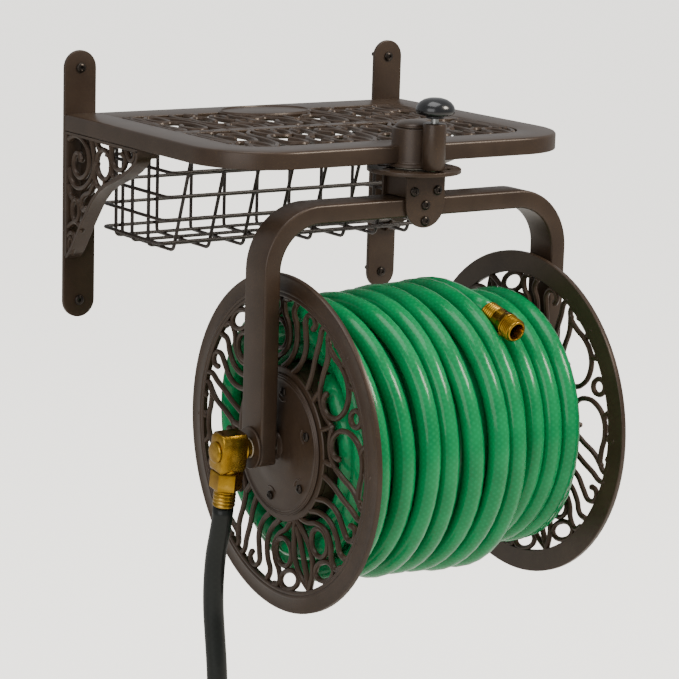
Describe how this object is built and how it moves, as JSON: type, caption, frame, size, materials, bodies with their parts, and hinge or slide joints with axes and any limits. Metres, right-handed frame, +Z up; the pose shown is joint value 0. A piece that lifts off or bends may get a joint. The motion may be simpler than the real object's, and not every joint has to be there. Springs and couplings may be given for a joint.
{
  "type": "wall-mounted swivelling garden hose reel",
  "caption": "Wall-mounted hose reel: scroll shelf and wire basket on wall bars, with a swivelling yoke that carries a hand-cranked reel of garden hose.",
  "frame": {"origin": "on the wall plane, in the middle of the four wall screws", "axes": "+X to the right as seen from in front, +Y into the wall, +Z up; the shelf and the reel stand out along -Y"},
  "size_m": [0.5208, 0.5457, 0.8623],
  "materials": {
    "bronze_enamel": "satin dark bronze powder coat with fine gold flecks",
    "wire_coating": "satin dark brown coated wire",
    "knob_plastic": "glossy black moulded plastic",
    "grip_rubber": "matt black rubber",
    "nylon": "natural nylon",
    "zinc_steel": "zinc plated steel",
    "screw_black": "black oxide screws",
    "brass": "turned and lacquered brass",
    "green_hose": "green vinyl with a fine braid showing through",
    "dark_hose": "dark green-black rubber"
  },
  "bodies": {
    "wall_frame": {"wall_bar_left": "bronze_enamel", "wall_bar_right": "bronze_enamel", "wall_screw_left_top": "screw_black", "wall_screw_left_bottom": "screw_black", "wall_screw_right_top": "screw_black", "wall_screw_right_bottom": "screw_black", "bracket_left": "bronze_enamel", "bracket_right": "bronze_enamel", "shelf": "bronze_enamel", "wire_basket": "wire_coating", "swivel_post": "bronze_enamel", "swivel_cap": "bronze_enamel", "swivel_bushing": "nylon"},
    "lock_plunger": {"lock_knob": "knob_plastic", "lock_pin": "zinc_steel", "lock_spring": "zinc_steel"},
    "swivel_yoke": {"index_plate": "bronze_enamel", "swivel_washer": "nylon", "swivel_shaft": "zinc_steel", "swivel_nut": "zinc_steel", "swivel_block": "bronze_enamel", "clevis": "bronze_enamel", "clevis_screw_upper_left": "screw_black", "clevis_screw_upper_right": "screw_black", "clevis_screw_middle": "screw_black", "clevis_screw_lower": "screw_black", "yoke": "bronze_enamel", "axle_bushing_left": "nylon", "axle_bushing_right": "nylon", "leg_plate_left": "bronze_enamel", "leg_plate_right": "bronze_enamel"},
    "reel": {"reel_disc_left": "bronze_enamel", "reel_disc_right": "bronze_enamel", "drum": "bronze_enamel", "hub_plate_left": "bronze_enamel", "hub_plate_right": "bronze_enamel", "hub_bolt_1": "screw_black", "hub_bolt_2": "screw_black", "hub_bolt_3": "screw_black", "hub_bolt_4": "screw_black", "hub_bolt_5": "screw_black", "hub_bolt_6": "screw_black", "inlet_tube": "brass", "crank_shaft": "zinc_steel", "crank_arm": "bronze_enamel", "crank_nut": "zinc_steel", "grip_bolt": "zinc_steel", "hose_wound": "green_hose", "hose_end_ferrule": "brass", "hose_end_coupling": "brass"},
    "grip": {"crank_grip": "grip_rubber"},
    "inlet": {"inlet_elbow": "brass", "inlet_cap": "brass", "leader_nut": "brass", "leader_ferrule": "brass", "leader_hose": "dark_hose", "leader_coil": "dark_hose", "leader_end_ferrule": "brass", "leader_end_coupling": "brass"}
  },
  "joints": [
    {"name": "yoke_swivel", "type": "hinge", "parent": "wall_frame", "child": "swivel_yoke", "pos_m": [0, -0.345, 0], "axis": [0, 0, 1], "range_deg": [-90, 90]},
    {"name": "lock_slide", "type": "slide", "parent": "wall_frame", "child": "lock_plunger", "axis": [0, 0, -1], "range_m": [0, 0.005], "deforming": ["lock_spring"]},
    {"name": "reel_spin", "type": "hinge", "parent": "swivel_yoke", "child": "reel", "pos_m": [0, -0.345, -0.219], "axis": [1, 0, 0], "continuous": true},
    {"name": "grip_spin", "type": "hinge", "parent": "reel", "child": "grip", "pos_m": [0.24, -0.215, -0.219], "axis": [1, 0, 0], "continuous": true},
    {"name": "inlet_swivel", "type": "hinge", "parent": "swivel_yoke", "child": "inlet", "pos_m": [-0.215, -0.345, -0.219], "axis": [1, 0, 0], "range_deg": [-60, 40]}
  ]
}
